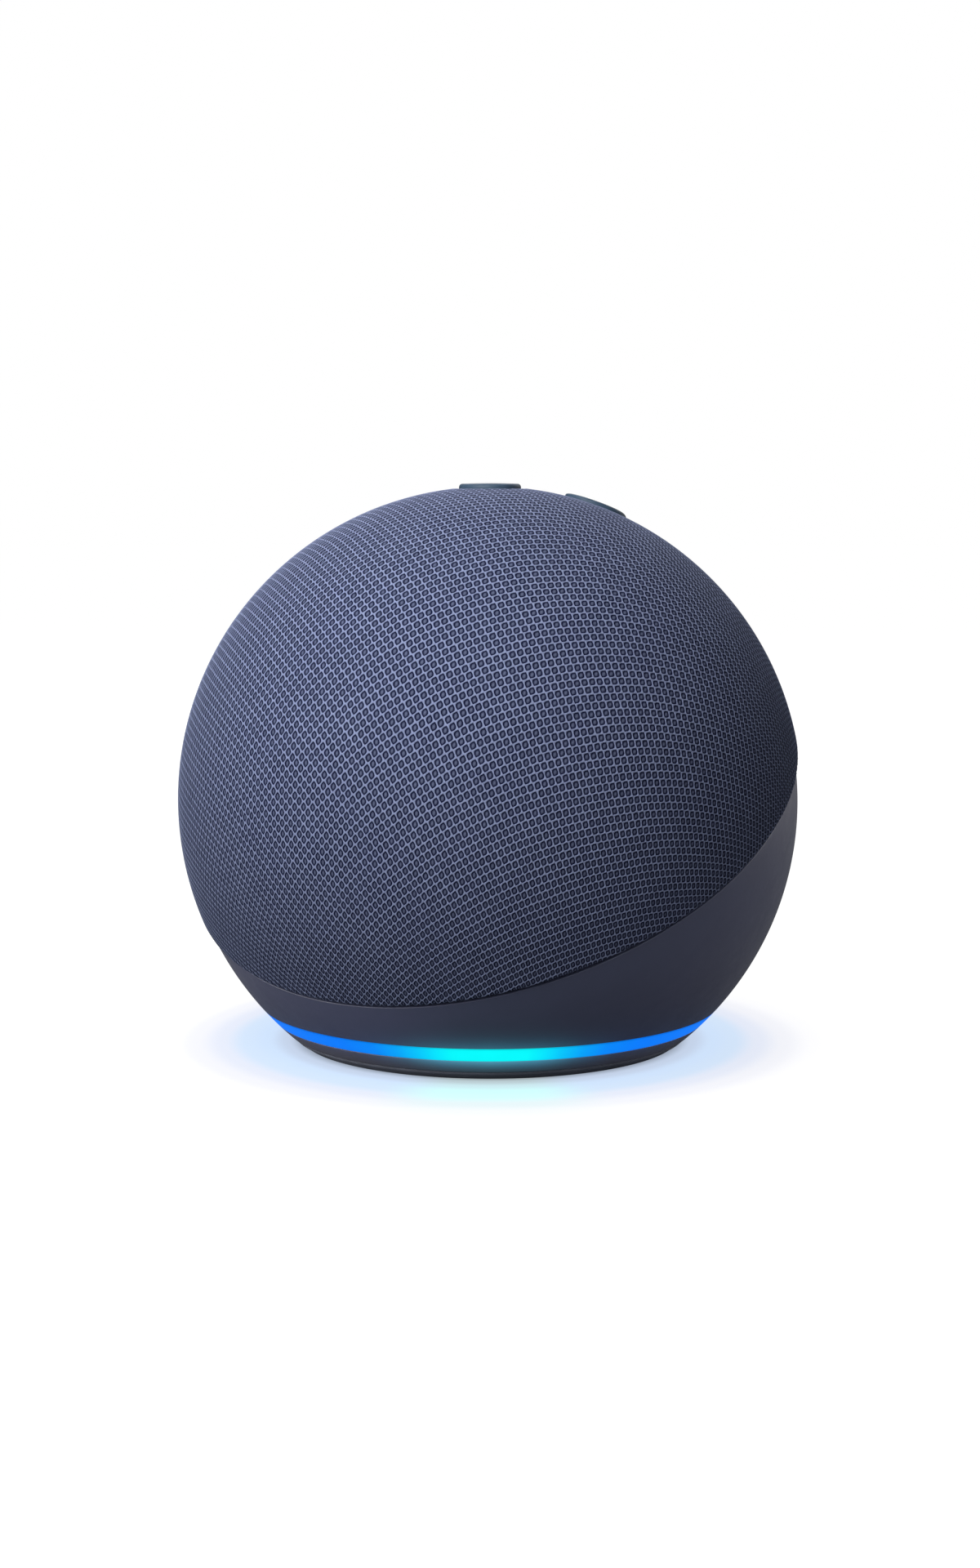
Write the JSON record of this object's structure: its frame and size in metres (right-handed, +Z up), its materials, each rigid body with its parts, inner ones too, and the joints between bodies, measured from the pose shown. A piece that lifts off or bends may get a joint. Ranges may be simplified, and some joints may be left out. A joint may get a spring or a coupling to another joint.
{
  "type": "smart speaker",
  "caption": "Ball-shaped smart speaker with a knitted cover, smooth rear shell, light ring at the base and press buttons on top.",
  "frame": {"origin": "centre of the floor contact, on the floor", "axes": "+Z up, front of the speaker towards -Y, right-hand side of the speaker as seen from behind towards +X"},
  "size_m": [0.1, 0.0993, 0.0896],
  "materials": {
    "knit_fabric": "knitted mesh",
    "shell_plastic": "fine matte moulding",
    "ring_light": "translucent, lit from inside",
    "button_plastic": "satin",
    "foot_rubber": "matte",
    "black_plastic": "matte",
    "white_plastic": "satin",
    "ivory_plastic": "satin",
    "black_rubber": "matte",
    "screw_steel": "plain",
    "plated_steel": "plated",
    "gold_metal": "plated",
    "basket_paint": "powder coated",
    "ferrite": "sintered, matte",
    "copper_wire": "enamelled winding",
    "copper_foil": "foil",
    "spider_cloth": "resin-treated weave",
    "cone_paper": "pressed pulp",
    "circuit_board": "solder mask",
    "white_board": "solder mask",
    "chip_black": "moulded epoxy",
    "aluminium_can": "plain",
    "cast_aluminium": "cast",
    "pad_grey": "soft",
    "led_white": "clear over phosphor",
    "polyimide": "amber film",
    "red_wire": "insulation"
  },
  "bodies": {
    "speaker_body": {"fabric_cover": "knit_fabric", "front_grille": "shell_plastic", "rear_housing": "shell_plastic", "inlet_bezel": "shell_plastic", "light_ring": "ring_light", "base_trim": "shell_plastic", "bottom_cover": "black_plastic", "rubber_foot": "foot_rubber", "inner_chassis": "black_plastic", "base_screws": "screw_steel", "button_carrier": "white_plastic", "top_board": "circuit_board", "tact_switches": "black_plastic", "microphones": "gold_metal", "top_board_screws": "screw_steel", "top_flex_cable": "polyimide", "enclosure_baffle": "black_plastic", "enclosure_can": "black_plastic", "enclosure_seal": "black_rubber", "enclosure_screws": "screw_steel", "lead_grommet": "black_rubber", "driver_basket": "basket_paint", "driver_top_plate": "plated_steel", "driver_magnet": "ferrite", "driver_yoke": "plated_steel", "spider": "spider_cloth", "surround": "black_rubber", "driver_gasket": "black_rubber", "driver_terminals": "gold_metal", "speaker_leads": "red_wire", "main_board": "circuit_board", "processor_chip": "chip_black", "memory_chips": "chip_black", "wifi_shield": "plated_steel", "power_capacitors": "aluminium_can", "power_inductors": "ferrite", "board_connectors": "ivory_plastic", "thermal_pad": "pad_grey", "heat_sink": "cast_aluminium", "heat_sink_screws": "screw_steel", "main_board_screws": "screw_steel", "power_board": "circuit_board", "dc_jack": "black_plastic", "dc_jack_pin": "plated_steel", "power_leads": "red_wire", "led_board": "white_board", "leds": "led_white", "led_flex_cable": "polyimide", "wifi_antennas": "copper_foil"},
    "volume_up": {"volume_up_button": "button_plastic", "volume_up_plunger": "white_plastic"},
    "volume_down": {"volume_down_button": "button_plastic", "volume_down_plunger": "white_plastic"},
    "action": {"action_button": "button_plastic", "action_plunger": "white_plastic"},
    "mute": {"mute_button": "button_plastic", "mute_plunger": "white_plastic"},
    "cone_assembly": {"voice_coil": "copper_wire", "cone": "cone_paper", "dust_cap": "cone_paper"}
  },
  "joints": [
    {"name": "volume_up_press", "type": "slide", "parent": "speaker_body", "child": "volume_up", "axis": [0, 0, -1], "range_m": [0, 0.0005], "stiffness_N_per_m": 500},
    {"name": "volume_down_press", "type": "slide", "parent": "speaker_body", "child": "volume_down", "axis": [0, 0, -1], "range_m": [0, 0.0005], "stiffness_N_per_m": 500},
    {"name": "action_press", "type": "slide", "parent": "speaker_body", "child": "action", "axis": [0, 0, -1], "range_m": [0, 0.0005], "stiffness_N_per_m": 500},
    {"name": "mute_press", "type": "slide", "parent": "speaker_body", "child": "mute", "axis": [0, 0, -1], "range_m": [0, 0.0005], "stiffness_N_per_m": 500},
    {"name": "cone_travel", "type": "slide", "parent": "speaker_body", "child": "cone_assembly", "axis": [0, -1, 0], "range_m": [-0.0012, 0.0012], "stiffness_N_per_m": 1500, "deforming": ["surround", "spider"]}
  ]
}
